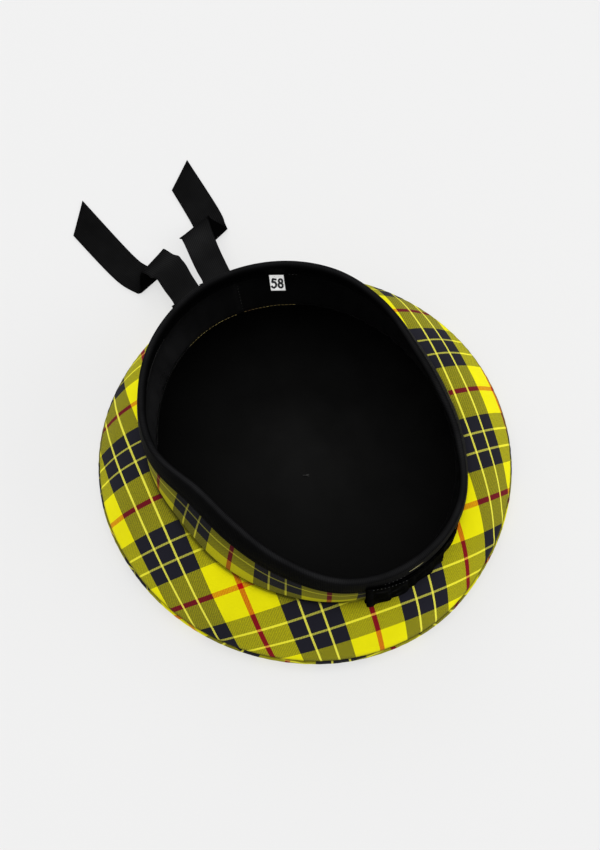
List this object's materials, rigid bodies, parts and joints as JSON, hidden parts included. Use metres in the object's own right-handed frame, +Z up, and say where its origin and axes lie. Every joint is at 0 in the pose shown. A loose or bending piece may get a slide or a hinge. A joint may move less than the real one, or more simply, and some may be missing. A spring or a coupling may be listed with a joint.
{
  "type": "balmoral bonnet",
  "caption": "Soft tartan balmoral bonnet lying crown down, with bound headband, satin lining, ribbon cockade, toorie and two ribbon tails.",
  "frame": {"origin": "centre of the crown on the surface it lies on, at the flat underside of the toorie", "axes": "+Z up out of the head opening, -Y towards the cockade end, +Y towards the ribbon tails"},
  "size_m": [0.247, 0.3595, 0.0827],
  "materials": {
    "crown_tartan": "woven tartan, yellow and black with a red line",
    "band_tartan": "woven tartan, yellow and black with a red line",
    "binding_ribbon": "black binding ribbon",
    "lining_satin": "black satin",
    "tail_ribbon": "black ribbed ribbon",
    "cockade_ribbon": "black ribbed ribbon, pleated",
    "toorie_yarn": "black cut yarn",
    "label_tape": "white woven tape with plain black digits"
  },
  "bodies": {
    "root": {"crown_top": "crown_tartan", "crown_underside": "crown_tartan", "headband": "band_tartan", "rim_binding": "binding_ribbon", "lining_band": "lining_satin", "lining_crown": "lining_satin", "ribbon_tail_right": "tail_ribbon", "ribbon_tail_left": "tail_ribbon", "cockade": "cockade_ribbon", "toorie": "toorie_yarn", "size_label": "label_tape"}
  },
  "joints": []
}
